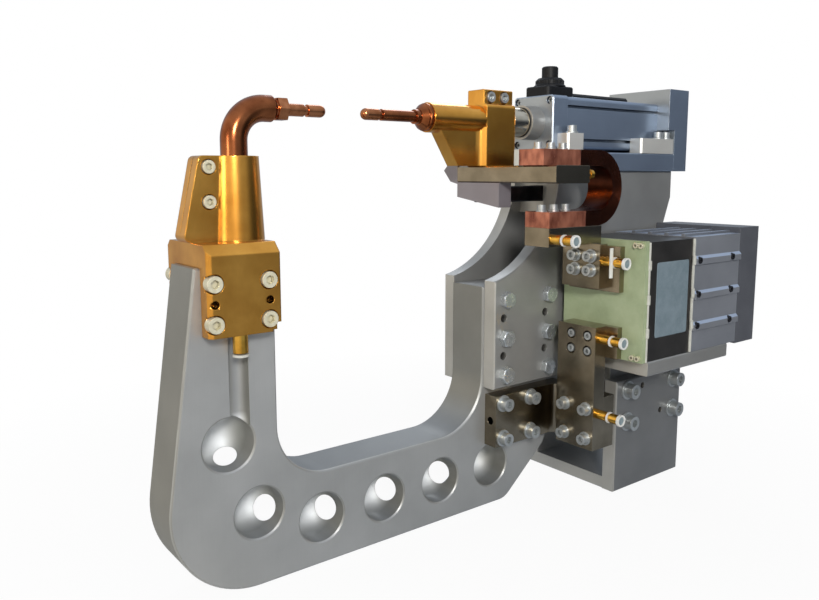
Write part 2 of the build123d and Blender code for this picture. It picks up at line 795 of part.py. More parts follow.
def make_actuator():
    clear = rod_r + run_gap
    tie_seats = [(head_x + tie_recess, y, z)
                 for y, z in grid((-tie_screw_offset, tie_screw_offset),
                                  (-tie_screw_offset, tie_screw_offset))]
    head = slab_x(square_outline(body_half), head_x, head_end_x)
    head = chamfer(head.faces().sort_by(Axis.X)[0].edges(), broken_edge)
    head -= rod((head_x - overcut, 0, 0), (head_end_x + overcut, 0, 0), clear)
    head = recessed(drilled(head, tie_seats, into_x, tie_screw, head_end_x), tie_seats, into_x, tie_screw,
                    tie_recess)
    save("actuator_head", head)
    bush = rod((bush_x, 0, 0), (head_x, 0, 0), bush_r)
    bush -= rod((bush_x - overcut, 0, 0), (head_x + overcut, 0, 0), clear)
    save("rod_bush", bush)
    wiper = rod((bush_x - wiper_depth, 0, 0), (bush_x, 0, 0), clear + wiper_lip)
    save("rod_wiper", wiper - rod((bush_x - wiper_depth - overcut, 0, 0), (bush_x + overcut, 0, 0), clear))
    tube = slab_x(square_outline(tube_half), head_end_x, body_end_x)
    tube -= rod((head_end_x - overcut, 0, 0), (body_end_x + overcut, 0, 0), tube_bore_r)
    half = side_groove_width / 2
    for side in (-1, 1):
        for z in side_groove_z:
            inner = side * (tube_half - side_groove_depth)
            tube -= block(head_end_x - overcut, body_end_x + overcut, inner, side * (body_half + overcut),
                          z - half, z + half)
    tube = drilled(tube, [(head_end_x, y, z) for x, y, z in tie_seats], into_x, tie_screw, tie_screw_bite)
    save("actuator_tube", tube)
    bite = head_end_x - head_x - tie_recess + tie_screw_bite - screw_gap
    bolts = screws(tie_seats, into_x, tie_screw, bite)
    rear = block(body_end_x, rear_end_x, -rear_half, rear_half, plate_top_z, body_half + rear_rise)
    rear = chamfer(rear.faces().sort_by(Axis.X)[-1].edges(), broken_edge)
    rear -= rod((body_end_x - overcut, 0, 0), (screw_rear_x + run_out, 0, 0), screw_r + run_gap)
    outside = rear_half + overcut
    rear -= block(body_end_x - overcut, foot_rear_end_x, -outside, outside, plate_top_z - overcut,
                  base_top_z)
    for side in (-1, 1):
        rear -= block(body_end_x - overcut, foot_rear_end_x, side * tube_half, side * outside,
                      base_top_z - overcut, foot_rear_z + foot_room)
    save("rear_housing", rear)
    base = block(base_x, foot_rear_end_x, -rear_half, rear_half, plate_top_z, base_top_z)
    base = chamfer(base.edges().filter_by(Axis.X), broken_edge)
    feet = []
    for side in (-1, 1):
        y = side * foot_screw_y
        far = side * rear_half
        front_seats = [((foot_front_x + foot_front_end_x) / 2, y, foot_front_z)]
        rear_seats = [(x, y, foot_rear_z) for x in foot_rear_screw_x]
        pairs = ((foot_front_x, foot_front_end_x, body_half, foot_front_z, front_seats),
                 (foot_rear_x, foot_rear_end_x, tube_half, foot_rear_z, rear_seats))
        for x0, x1, near, top, seats in pairs:
            foot = block(x0, x1, side * near, far, base_top_z, top)
            foot = chamfer(foot.edges().filter_by(Axis.Z).group_by(lambda edge: abs(edge.center().Y))[-1],
                           foot_edge)
            height = top - base_top_z
            feet.append(drilled(foot, seats, into_z, foot_screw, height))
            base = drilled(base, [(x, y, base_top_z) for x, y, z in seats], into_z, foot_screw,
                           foot_screw_bite)
            bolts += screws(seats, into_z, foot_screw, height + foot_screw_bite - screw_gap, washer=True)
    save("actuator_feet", feet)
    save("actuator_screws", bolts)
    save("actuator_base_plate", base)


def make_connector():
    x0, x1 = connector_x - connector_half_x, connector_x + connector_half_x
    base = block(x0, x1, -connector_half_y, connector_half_y, body_half, connector_base_z)
    base = fillet(base.edges().filter_by(Axis.Z), connector_round)
    save("connector_base", chamfer(base.faces().sort_by(Axis.Z)[-1].edges(), broken_edge))
    mid = connector_mid_height
    top = plug_height
    rim = connector_mid_r - connector_mid_edge
    plug = turned([
        (0, 0), (0, connector_foot_r), (broken_edge, connector_foot_r),
        (connector_mid_edge, connector_mid_r),
        (mid - connector_mid_edge, connector_mid_r), (mid, rim), (mid, plug_r), (top - broken_edge, plug_r),
        (top, plug_r - broken_edge), (top, 0),
    ], (connector_x, 0, connector_base_z), (0, 0, 1))
    for i in range(connector_notch_count):
        turn = 2 * math.pi * i / connector_notch_count
        x = connector_x + connector_mid_r * math.cos(turn)
        y = connector_mid_r * math.sin(turn)
        plug -= rod((x, y, connector_base_z + connector_mid_edge), (x, y, connector_base_z + mid),
                    connector_notch_r)
    save("connector_plug", plug)
    duct = block(x1, duct_end_x, -duct_half_y, duct_half_y, tube_half, tube_half + duct_height)
    save("cable_duct", chamfer(duct.edges().filter_by(Axis.X).group_by(Axis.Z)[-1], 2 * broken_edge))


# Carriage: crossbar, slide carrier, slide bar and its guide
terminal_seats = [(terminal_x + terminal_screw_inset + terminal_screw_pitch * i,
                   (shunt_near_y + shunt_far_y) / 2,
                   deck_z + terminal_thick) for i in range(3)]


def make_carriage():
    bar = block(bar_x, bar_end_x, bar_near_y, bar_far_y, bar_under_z, deck_z)
    bar = chamfer(bar.edges().filter_by(Axis.Y), broken_edge)
    bar = drilled(bar, [(x, y, deck_z) for x, y, z in terminal_seats], into_z, terminal_screw,
                  terminal_bar_bite)
    save("cross_bar", bar)
    profile = sharp([
        (carrier_near_y, bar_under_z), (carrier_near_y, carrier_near_z), (bar_far_y, carrier_far_z),
        (bar_far_y, bar_under_z - nose_drop), *nose_outline,
        (bar_far_y, nose_outline[-1][1]), (bar_far_y, bar_under_z)])
    carrier = slab_x(profile, bar_x, carrier_end_x)
    seat = slide_half + screw_gap
    carrier -= block(slide_x - screw_gap, carrier_end_x + overcut, -seat, seat, carrier_near_z - overcut,
                     slide_top_z + screw_gap)
    save("slide_carrier", carrier)
    slide = block(slide_x, slide_end_x, -slide_half, slide_half, slide_under_z, slide_top_z)
    save("slide_bar", chamfer(slide.edges().filter_by(Axis.X), broken_edge))
    guide = block(guide_x, guide_end_x, -arm_half, arm_half, guide_under_z, plate_top_z)
    room = slide_half + slide_gap
    guide -= block(guide_x - overcut, guide_end_x + overcut, -room, room, slide_under_z - slide_gap,
                   slide_top_z + slide_gap)
    save("guide_block", guide)


# Laminated shunt and its terminals
def make_shunt():
    middle_z = deck_z - loop_inner_r
    upper = block(terminal_x, terminal_x + terminal_length, shunt_near_y, shunt_far_y, deck_z,
                  deck_z + terminal_thick)
    bite = terminal_thick + terminal_bar_bite - screw_gap
    save("shunt_upper_terminal", drilled(upper, terminal_seats, into_z, terminal_screw, terminal_thick))
    seats = [(x, clamp_recess - clamp_near, z) for x, z in clamp_screw_places]
    clamp = screws(seats, into_y, clamp_screw, clamp_near + boss_r - 2 * clamp_recess)
    save("carriage_screws", clamp + screws(terminal_seats, into_z, terminal_screw, bite, washer=True))
    plate = block(terminal_x, terminal_x + terminal_length, shunt_far_y, shunt_far_y + edge_plate_thick,
                  deck_z, deck_z + terminal_thick)
    save("terminal_edge_plate", plate)
    lower_top = middle_z - loop_inner_r
    lower_end = lower_terminal_x + terminal_length
    lower = block(lower_terminal_x, lower_end, shunt_near_y, shunt_far_y, lower_top - terminal_thick,
                  lower_top)
    shift = lower_terminal_x + lower_screw_inset - terminal_x - terminal_screw_inset
    seats = [(x + shift, y, lower_top) for x, y, z in terminal_seats]
    save("shunt_lower_terminal", drilled(lower, seats, into_z, terminal_screw, terminal_thick))
    leaf = (terminal_thick - loop_leaf_gap * (loop_leaf_count - 1)) / loop_leaf_count
    leaves = []
    for i in range(loop_leaf_count):
        inner = loop_inner_r + i * (leaf + loop_leaf_gap)
        outer = inner + leaf
        bend = Pos(loop_x, middle_z, 0) * (Circle(outer) - Circle(inner))
        bend -= Pos(loop_x - outer, middle_z, 0) * Rectangle(2 * outer, 3 * outer)
        upper_z = middle_z + (inner + outer) / 2
        lower_z = middle_z - (inner + outer) / 2
        upper_from = terminal_x + terminal_length
        strip = Pos((upper_from + loop_x) / 2, upper_z, 0) * Rectangle(loop_x - upper_from, leaf)
        tail = Pos((lower_end + loop_x) / 2, lower_z, 0) * Rectangle(loop_x - lower_end, leaf)
        leaves.append(slab_y(bend + strip + tail, shunt_near_y, shunt_far_y))
    save("shunt_loop", leaves)
    return lower_top - terminal_thick, seats


# Busbars between shunt, transformer and arm
def make_busbars(bar_top, seats):
    bar = block(lower_terminal_x, busbar_plate_end_x, shunt_near_y, shunt_far_y, bar_top - busbar_thick,
                bar_top)
    bar = drilled(bar, [(x, y, bar_top) for x, y, z in seats], into_z, terminal_screw, terminal_bar_bite)
    plate = block(busbar_plate_x, busbar_plate_end_x, busbar_plate_near_y, busbar_plate_far_y,
                  busbar_plate_z, bar_top - busbar_thick)
    upper_seats = [(busbar_plate_x, y, z) for y, z in grid(upper_screw_y, upper_screw_z)]
    small_seats = [(lower_bus_x, y, z) for y, z in grid(small_screw_y, small_screw_z)]
    long_seats = [(lower_bus_x, y, z) for y, z in grid(long_screw_y, long_screw_z)]
    upper = drilled(bar + plate, upper_seats, into_x, upper_screw, busbar_plate_end_x - busbar_plate_x)
    for place in fittings[:2]:
        upper = fitting_hole(upper, place)
    save("upper_busbar", upper)
    flange = block(busbar_plate_end_x, flange_end_x, flange_near_y, busbar_plate_far_y, *upper_flange_z)
    save("upper_flange", drilled(flange, [(busbar_plate_end_x, y, z) for x, y, z in upper_seats],
                                 into_x, upper_screw, flange_end_x))
    flange = block(busbar_plate_end_x, flange_end_x, flange_near_y, lower_bus_far_y, *lower_flange_z)
    save("lower_flange", drilled(flange, [(busbar_plate_end_x, y, z) for x, y, z in small_seats],
                                 into_x, small_screw, flange_end_x))
    lower = block(lower_bus_x, busbar_plate_end_x, lower_bus_near_y, lower_bus_far_y,
                  lower_bus_bottom_z, lower_flange_z[1])
    lower = drilled(lower, small_seats, into_x, small_screw, busbar_thick)
    sunk = [shifted(seat, into_x, small_recess) for seat in small_seats]
    lower = recessed(lower, sunk, into_x, small_screw, small_recess, small_recess_share)
    lower = drilled(lower, long_seats, into_x, long_screw, busbar_thick)
    for place in fittings[2:]:
        lower = fitting_hole(lower, place)
    save("lower_busbar", lower)
    leg = block(corner_x, corner_end_x, -corner_y, -arm_half, lower_bus_bottom_z, corner_top_z)
    foot = block(busbar_plate_end_x, corner_end_x, lower_bus_near_y, -corner_y, lower_bus_bottom_z,
                 corner_top_z)
    corner = leg + foot
    inner = corner.edges().filter_by(Axis.Z).sort_by_distance(
        (busbar_plate_end_x, -corner_y, corner_top_z))[0]
    corner = drilled(fillet(inner, corner_round), corner_seats, into_y, corner_screw, corner_thick)
    corner = drilled(corner, [(busbar_plate_end_x, y, z) for x, y, z in long_seats],
                     into_x, long_screw, corner_thick)
    hole_z = (lower_bus_bottom_z + corner_top_z) / 2
    hole_y = -(arm_half + corner_y) / 2
    corner -= rod((corner_x - overcut, hole_y, hole_z), (corner_x + corner_hole_depth, hole_y, hole_z),
                  corner_hole_r)
    save("corner_busbar", corner)
    group = screws(seats, into_z, terminal_screw, terminal_thick + terminal_bar_bite - screw_gap,
                   washer=True)
    group += screws(upper_seats, into_x, upper_screw, flange_end_x - busbar_plate_x - screw_gap, washer=True)
    group += screws(sunk, into_x, small_screw, flange_end_x - lower_bus_x - small_recess - screw_gap)
    group += screws(long_seats, into_x, long_screw, corner_end_x - lower_bus_x - screw_gap, washer=True)
    group += screws(corner_seats, into_y, corner_screw, corner_screw_bite - screw_gap, washer=True)
    save("busbar_screws", group)


# Water fittings: each stands on a face that looks towards -Y
plate_middle_x = (busbar_plate_x + busbar_plate_end_x) / 2
lower_middle_x = (lower_bus_x + busbar_plate_end_x) / 2
fittings = (
    (bar_fitting_x, shunt_near_y, bar_fitting_z),
    (plate_middle_x, busbar_plate_near_y, plate_fitting_z),
    (lower_middle_x, lower_bus_near_y, lower_fitting_z),
    (lower_middle_x, lower_bus_near_y, foot_fitting_z),
)


def fitting_hole(solid, place):
    x, y, z = place
    return solid - rod((x, y - overcut, z), (x, y + fitting_seat, z), fitting_waist_r + screw_gap)


def make_fittings():
    bodies = []
    rings = []
    hoses = []
    for i, (x, y, z) in enumerate(fittings):
        bodies.append(turned([
            (overcut - fitting_seat, 0), (overcut - fitting_seat, fitting_waist_r), (0, fitting_waist_r),
            (0, fitting_r),
            (ring_at - fitting_waist / 2, fitting_r), (ring_at - fitting_waist / 2, fitting_waist_r),
            (ring_at + fitting_waist / 2, fitting_waist_r), (ring_at + fitting_waist / 2, fitting_r),
            (fitting_length, fitting_r), (fitting_length, 0),
        ], (x, y, z), (0, -1, 0)))
        start = y - ring_at + ring_width / 2
        ring = rod((x, start, z), (x, start - ring_width, z), ring_r)
        hole = rod((x, start + overcut, z), (x, start - ring_width - overcut, z),
                   fitting_waist_r + screw_gap)
        if i == clip_fitting:
            ring += block(x - ring_r - clip_tail_x / 2, x - ring_r + clip_tail_x / 2,
                          start - ring_width, start,
                          z - clip_tail_half_z, z + clip_tail_half_z)
        rings.append(ring - hole)
        from_y = y - fitting_length
        hose = rod((x, from_y + hose_push, z), (x, from_y - hose_length, z), hose_r)
        hole = rod((x, from_y + hose_push + overcut, z), (x, from_y, z), fitting_r + screw_gap)
        mouth = rod((x, from_y - overcut, z), (x, from_y - hose_length - overcut, z), hose_r - hose_wall)
        hoses.append(hose - hole - mouth)
    save("water_fittings", bodies)
    save("fitting_rings", rings)
    save("hose_ends", hoses)
    stub = rod((bar_end_x, carriage_fitting_y, carriage_fitting_z),
               (bar_end_x + carriage_fitting_length, carriage_fitting_y, carriage_fitting_z), fitting_r)
    collar_x = bar_end_x + carriage_fitting_length / 2
    stub += rod((collar_x, carriage_fitting_y, carriage_fitting_z),
                (collar_x + ring_width, carriage_fitting_y, carriage_fitting_z), ring_r)
    save("carriage_fitting", stub)


# Transformer
def make_transformer():
    end_x = flange_end_x + end_plate_thick
    near, far = trafo_near_y + end_screw_inset, trafo_far_y - end_screw_inset
    corners = grid((near, near + end_screw_pitch, far - end_screw_pitch, far),
                   (trafo_bottom_z + end_screw_inset, trafo_top_z - end_screw_inset))
    end_seats = [(flange_end_x, y, z) for y, z in corners]
    end = block(flange_end_x, end_x, trafo_near_y, trafo_far_y, trafo_bottom_z, trafo_top_z)
    save("transformer_end_plate", drilled(end, end_seats, into_x, end_screw, end_plate_thick))
    core = block(end_x, core_end_x, trafo_near_y + core_inset, trafo_far_y - core_inset,
                 trafo_bottom_z, trafo_top_z - core_inset)
    save("transformer_core_housing", drilled(core, [(end_x, y, z) for x, y, z in end_seats],
                                             into_x, end_screw, side_screw_bite))
    profile = block(core_end_x, profile_end_x, trafo_near_y, trafo_far_y, trafo_bottom_z, trafo_top_z)
    face_y = trafo_near_y - rail_depth
    for z in rail_z:
        rail = sharp([(trafo_near_y + overcut, z), (trafo_near_y, z), (face_y, z - rail_slope),
                      (face_y, z - rail_height), (trafo_near_y + overcut, z - rail_height)])
        profile += slab_x(rail, core_end_x, profile_end_x)
    for y in fin_y:
        profile += block(core_end_x, profile_end_x, y - fin_width / 2, y + fin_width / 2,
                         trafo_top_z - overcut, trafo_top_z + fin_height)
    side_seats = [(x, face_y + side_recess, z) for x, z in grid(side_screw_x, side_screw_z)]
    profile = drilled(profile, side_seats, into_y, side_screw, side_screw_bite)
    profile = recessed(profile, side_seats, into_y, side_screw, side_recess)
    save("transformer_profile", profile)
    group = screws(end_seats, into_x, end_screw, end_plate_thick + side_screw_bite - screw_gap)
    group += screws(side_seats, into_y, side_screw, side_screw_bite - screw_gap)
    save("transformer_screws", group)
    cover = block(profile_end_x, cover_end_x, trafo_near_y, cover_far_y, cover_bottom_z, cover_top_z)
    save("transformer_rear_cover", chamfer(cover.faces().sort_by(Axis.X)[-1].edges(), broken_edge))
    shelf = block(shelf_x, shelf_end_x, trafo_near_y, -plate_y, trafo_bottom_z - shelf_thick, trafo_bottom_z)
    save("transformer_shelf", chamfer(shelf.edges().filter_by(Axis.X), broken_edge))


# Bracket that the robot's flange holds
def make_bracket():
    side = block(plate_foot_x, plate_foot_end_x, bracket_near_y, bracket_far_y, bracket_bottom_z,
                 bracket_top_z)
    side = chamfer(side.faces().sort_by(Axis.Y)[0].edges(), broken_edge)
    side = drilled(side, bracket_seats, into_y, bracket_screw, bracket_far_y - bracket_near_y)
    pins = [(x, bracket_near_y, z) for x, z in bracket_pins]
    save("bracket_side_plate", drilled(side, pins, into_y, 2 * bracket_pin_r,
                                       bracket_far_y - bracket_near_y))
    spacer = block(spacer_x, spacer_end_x, bracket_far_y, -plate_y, front_foot_z,
                   trafo_bottom_z - shelf_thick)
    spacer = drilled(spacer, [(x, bracket_far_y, z) for x, y, z in bracket_seats],
                     into_y, bracket_screw, bracket_far_y - bracket_near_y + plate_y)
    save("bracket_spacer", spacer)
    bite = plate_thick / 2 - plate_y - bracket_near_y
    save("bracket_bolts", screws(bracket_seats, into_y, bracket_screw, bite, washer=True))
    bottom = block(plate_foot_x, plate_foot_end_x, bracket_far_y, plate_y, bracket_bottom_z, bracket_floor_z)
    bottom = chamfer(bottom.faces().sort_by(Axis.Z)[0].edges(), broken_edge)
    for i in range(flange_hole_count):
        turn = 2 * math.pi * (i + 0.5) / flange_hole_count
        x = flange_x + flange_circle_r * math.cos(turn)
        y = flange_y + flange_circle_r * math.sin(turn)
        bottom -= rod((x, y, bracket_bottom_z - overcut), (x, y, bracket_bottom_z + flange_hole_depth),
                      flange_hole_r)
    bore = rod((flange_x, flange_y, bracket_bottom_z - overcut),
               (flange_x, flange_y, bracket_bottom_z + flange_bore_depth), flange_bore_r)
    save("bracket_bottom_plate", bottom - bore)


os.makedirs("parts", exist_ok=True)
make_arm()
make_side_plates()
make_fixed_holder()
make_fixed_electrode()
make_moving_electrode()
make_drive()
make_actuator()
make_connector()
make_carriage()
busbar_top, lower_terminal_seats = make_shunt()
make_busbars(busbar_top, lower_terminal_seats)
make_fittings()
make_transformer()
make_bracket()
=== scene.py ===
import bpy
import bmesh
import json
import math
import numpy as np
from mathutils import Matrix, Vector


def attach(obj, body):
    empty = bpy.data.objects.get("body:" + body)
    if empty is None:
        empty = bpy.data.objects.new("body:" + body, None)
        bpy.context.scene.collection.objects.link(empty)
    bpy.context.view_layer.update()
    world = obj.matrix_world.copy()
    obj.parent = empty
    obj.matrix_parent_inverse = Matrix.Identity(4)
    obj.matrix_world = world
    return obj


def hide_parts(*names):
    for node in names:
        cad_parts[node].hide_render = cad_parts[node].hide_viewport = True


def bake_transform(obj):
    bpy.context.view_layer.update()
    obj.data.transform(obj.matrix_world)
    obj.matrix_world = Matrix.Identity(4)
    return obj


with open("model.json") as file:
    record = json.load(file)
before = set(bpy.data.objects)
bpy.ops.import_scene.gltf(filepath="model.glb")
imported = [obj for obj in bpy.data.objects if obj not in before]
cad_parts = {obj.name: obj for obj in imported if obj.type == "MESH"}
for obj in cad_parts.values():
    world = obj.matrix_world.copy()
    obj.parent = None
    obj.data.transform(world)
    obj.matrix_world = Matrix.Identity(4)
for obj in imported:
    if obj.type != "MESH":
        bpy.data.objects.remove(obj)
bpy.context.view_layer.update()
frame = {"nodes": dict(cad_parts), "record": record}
nodes = frame["nodes"]
print("frame loaded:", len(nodes), "CAD nodes")


# materials: one output of a node, which takes + and - and *
class Signal:
    def __init__(self, graph, socket):
        self.graph = graph
        self.socket = socket

    def calc(self, operation, first, second):
        return self.graph.node("Math", {"operation": operation}, {0: first, 1: second})

    def __add__(self, other):
        return self.calc("ADD", self, other)

    def __radd__(self, other):
        return self.calc("ADD", other, self)

    def __sub__(self, other):
        return self.calc("SUBTRACT", self, other)

    def __rsub__(self, other):
        return self.calc("SUBTRACT", other, self)

    def __mul__(self, other):
        return self.calc("MULTIPLY", self, other)

    def __rmul__(self, other):
        return self.calc("MULTIPLY", other, self)

    def unsigned(self):
        return self.graph.node("Math", {"operation": "ABSOLUTE"}, {0: self})

    def clipped(self, low, high):  # 0 at low, 1 at high, straight between and flat outside
        return self.graph.node("MapRange", {"clamp": True}, {0: self, 1: low, 2: high, 3: 0.0, 4: 1.0})


# a node tree with one method that adds any node: settings go on the node itself, inputs on its sockets
class Graph:
    def __init__(self, tree):
        self.tree = tree

    def node(self, kind, settings=None, inputs=None, output=0):
        made = self.tree.nodes.new("ShaderNode" + kind)
        for name, value in (settings or {}).items():
            if name == "stops":
                while len(made.color_ramp.elements) < len(value):
                    made.color_ramp.elements.new(0.5)
                for element, (position, tone) in zip(made.color_ramp.elements, value):
                    element.position = position
                    element.color = (tone, tone, tone, 1) if isinstance(tone, float) else (*tone, 1)
            else:
                setattr(made, name, value)
        for key, value in (inputs or {}).items():
            if isinstance(value, Signal):
                self.tree.links.new(value.socket, made.inputs[key])
            else:
                made.inputs[key].default_value = value
        return None if output is None else Signal(self, made.outputs[output])

    def part(self, vector, axis):  # the X, Y or Z of a vector
        return self.node("SeparateXYZ", None, {0: vector}, axis)

    def blend(self, share, first, second):  # first colour at share 0, second at 1; on a Mix they are 6 and 7
        colours = [c if isinstance(c, Signal) else (*c, 1) for c in (first, second)]
        return self.node("Mix", {"data_type": "RGBA"}, {0: share, 6: colours[0], 7: colours[1]}, 2)


# painted shade in bores and inner corners, from ambient occlusion; closed and open are (how open the spot
# is, what stays of the colour)
hollowShade = dict(reach=0.012, samples=6, closed=(0.18, 0.04), open=(0.66, 1.0))


# a material on the usual shader, with the piece's own place and normals softened at the edges
class Paint(Graph):
    def __init__(self, name, edge=0.0006, **constants):  # constants go straight on the shader's sockets
        self.material = bpy.data.materials.new(name)
        self.material.use_nodes = True
        super().__init__(self.material.node_tree)
        self.shader = self.tree.nodes["Principled BSDF"]
        for socket, value in constants.items():
            self.shader.inputs[socket.replace("_", " ")].default_value = value
        self.place = self.node("TexCoord", output="Object")
        self.softened = self.node("Bevel", {"samples": 4}, {"Radius": edge})

    def feed(self, **links):  # what varies over the surface
        for name, value in links.items():
            self.tree.links.new(value.socket, self.shader.inputs[name.replace("_", " ")])

    def along(self, axis):  # the piece's own X, Y or Z in metres
        return self.part(self.place, axis)

    def noise(self, size, detail, rough, stretch=(1, 1, 1)):  # size is a blotch's width in metres
        scale = [1 / (size * s) for s in stretch]
        spot = self.node("Mapping", {"vector_type": "POINT"}, {0: self.place, 3: scale})
        return self.node("TexNoise", {"noise_dimensions": "4D"},
                         {"Vector": spot, "Scale": 1.0, "Detail": detail, "Roughness": rough})

    def ramp(self, share, *stops):
        return self.node("ValToRGB", {"stops": stops}, {0: share})

    # darkens the colour where the piece's own shape shuts out light: painted shade in its bores, recesses
    # and inner corners
    def hollowShaded(self, colour, reach=hollowShade["reach"]):
        openness = self.node("AmbientOcclusion", {"samples": hollowShade["samples"], "only_local": True},
                             {"Distance": reach}, "AO")
        return self.tinted(colour, self.ramp(openness, hollowShade["closed"], hollowShade["open"]))

    def tinted(self, colour, shade):
        return self.node("Mix", {"data_type": "RGBA", "blend_type": "MULTIPLY"},
                         {0: 1.0, 6: colour, 7: shade}, 2)

    def bump(self, height, strength, distance=0.0002):
        return self.node("Bump", None, {"Height": height, "Strength": strength, "Distance": distance,
                                        "Normal": self.softened})


# satin aluminium: cloudy tone, fine blasted grain, faint mill lines
# tone to pale are the clouds; the pocket colour is a painted highlight in the ball pockets; the side, top
# and ledge tints are painted light and shade, by which way a face looks
satin = {
    "arm": dict(tone=(0.345, 0.35, 0.345), pale=(0.425, 0.43, 0.425), rough=0.40, shine=0.45,
                lines=(1, 1, 40), grit=0.08, edge=0.0012, halfThick=0.0288, cutTop=-0.307,
                pocketHighlight=(0.78, 0.80, 0.81), side=(0.66, 0.64, 0.58), top=(0.68, 0.69, 0.70)),
    "plate": dict(tone=(0.30, 0.30, 0.29), pale=(0.37, 0.37, 0.36), rough=0.36, shine=0.50,
                  lines=(40, 1, 1), grit=0.04, edge=0.0007, side=(1.55, 1.50, 1.40)),
    "bracket": dict(tone=(0.185, 0.187, 0.187), pale=(0.235, 0.237, 0.235), rough=0.36, shine=0.50,
                    lines=(40, 1, 1), grit=0.04, edge=0.0009, side=(2.3, 2.2, 2.0)),
    "blue": dict(tone=(0.25, 0.31, 0.41), pale=(0.29, 0.36, 0.47), rough=0.31, shine=0.72,
                 lines=(40, 1, 1), grit=0.0015, edge=0.0009, side=(1.55, 1.35, 1.10)),
    "rib": dict(tone=(0.24, 0.255, 0.285), pale=(0.30, 0.315, 0.35), rough=0.34, shine=0.40,
                lines=(40, 1, 1), grit=0.02, edge=0.0005, ledgeLight=(0.40, 0.48, 0.62)),
    "carrier": dict(tone=(0.26, 0.235, 0.25), pale=(0.32, 0.29, 0.31), rough=0.40, shine=0.50,
                    lines=(1, 30, 1), grit=0.04, edge=0.0008),
    # the actuator feet: their pale tone is a painted reflection of the lamp on the polished feet
    "foot": dict(tone=(0.62, 0.61, 0.57), pale=(0.74, 0.73, 0.69), rough=0.34, shine=0.45,
                 lines=(40, 1, 1), grit=0.02, edge=0.0008),
}
# shared by the satin finishes; a mask is (where it starts, where it is full), sizes and depths are in metres
satinShared = dict(clouds=0.09, grain=0.0007, mill=0.0016,
                   cloudMask=(0.35, 0.68), shade=((0.3, 0.95), (0.7, 1.0)),
                   outMask=(0.10, 0.80), depthMask=(0.0008, 0.004), cutTopMask=(-0.004, 0.004),
                   ledgeMask=(0.25, 0.5), sideMask=(0.4, 0.9), topMask=(0.7, 0.95),
                   cloudRough=0.06, millRough=0.03, cutRough=0.22, roughDrop=0.045)
noTint = (1, 1, 1)


def satinPaint(name, look, shared=satinShared):
    paint = Paint(name, look["edge"], Metallic=look["shine"])
    clouds = paint.noise(shared["clouds"], detail=4.0, rough=0.5)
    grain = paint.noise(shared["grain"], detail=2.0, rough=0.6)
    mill = paint.noise(shared["mill"], detail=2.0, rough=0.5, stretch=look["lines"])
    colour = paint.blend(clouds.clipped(*shared["cloudMask"]), look["tone"], look["pale"])
    rough = clouds * shared["cloudRough"] + mill * shared["millRough"]
    rough = rough + (look["rough"] - shared["roughDrop"])
    normal = paint.node("TexCoord", output="Normal")
    if "pocketHighlight" in look:
        # painted highlight in the ball pockets: lighter below the face, and the more the surface looks out
        # of the pocket
        outward = paint.part(normal, "Y").unsigned().clipped(*shared["outMask"])
        inside = (look["halfThick"] - paint.along("Y").unsigned()).clipped(*shared["depthMask"])
        lower = (look["cutTop"] - paint.along("Z")).clipped(*shared["cutTopMask"])
        pocketHighlight = outward * inside * lower
        colour = paint.blend(pocketHighlight, colour, look["pocketHighlight"])
        rough = rough + pocketHighlight * shared["cutRough"]
    if "ledgeLight" in look:  # extruded ledges that look up get painted light, a lighter blue grey
        colour = paint.blend(paint.part(normal, "Z").clipped(*shared["ledgeMask"]), colour, look["ledgeLight"])
    if "side" in look:  # faces towards -X get painted light (lighter on plate, bracket and blue) and painted shade (darker on the arm), given as a tint of the rest
        leftward = (0 - paint.part(normal, "X")).clipped(*shared["sideMask"])
        colour = paint.tinted(colour, paint.blend(leftward, noTint, look["side"]))
    if "top" in look:  # tops get painted shade, a darker tint on the arm
        topward = paint.part(normal, "Z").clipped(*shared["topMask"])
        colour = paint.tinted(colour, paint.blend(topward, noTint, look["top"]))
    shade = paint.ramp(mill * 0.5 + grain * 0.5, *shared["shade"])
    # the colour gets painted shade in the piece's own hollows
    paint.feed(Base_Color=paint.hollowShaded(paint.tinted(colour, shade)), Roughness=rough,
               Normal=paint.bump(grain + mill * 0.5, look["grit"]))
    return paint.material


# cast and turned copper alloys: patches from tone to pale, smear stretches them, lines stretch the grain
alloy = {
    "holder": dict(tone=(0.60, 0.255, 0.038), pale=(0.93, 0.46, 0.088), rough=0.21, patch=0.05,
                   lines=(1, 1, 14), edge=0.0018, grit=0.02),
    "fitting": dict(tone=(0.62, 0.30, 0.035), pale=(0.88, 0.50, 0.085), rough=0.16, patch=0.012,
                    lines=(1, 1, 1), edge=0.0005, grit=0.03),
    "shank": dict(tone=(0.20, 0.056, 0.020), pale=(0.42, 0.138, 0.050), rough=0.20, patch=0.02,
                  lines=(1, 1, 1), edge=0.0006, grit=0.03),
    "tip": dict(tone=(0.36, 0.12, 0.045), pale=(0.58, 0.23, 0.10), rough=0.19, patch=0.01,
                lines=(1, 1, 1), edge=0.0005, grit=0.04),
    "terminal": dict(tone=(0.14, 0.032, 0.020), pale=(0.66, 0.25, 0.155), rough=0.24, patch=0.013,
                     lines=(1, 1, 24), edge=0.0009, grit=0.08, shine=0.65, smear=(1, 1, 2)),
    "foil": dict(tone=(0.045, 0.014, 0.008), pale=(0.17, 0.045, 0.020), rough=0.28, patch=0.03,
                 lines=(1, 30, 1), edge=0.0002, grit=0.04),
    "busbar": dict(tone=(0.21, 0.175, 0.12), pale=(0.38, 0.32, 0.235), rough=0.22, patch=0.04,
                   lines=(1, 20, 1), edge=0.0008, grit=0.03),
}
alloyShared = dict(grain=0.0008, patchMask=(0.30, 0.66), shade=((0.25, 0.94), (0.7, 1.0)),
                   grainRough=0.04, patchRough=0.06, roughDrop=0.04)


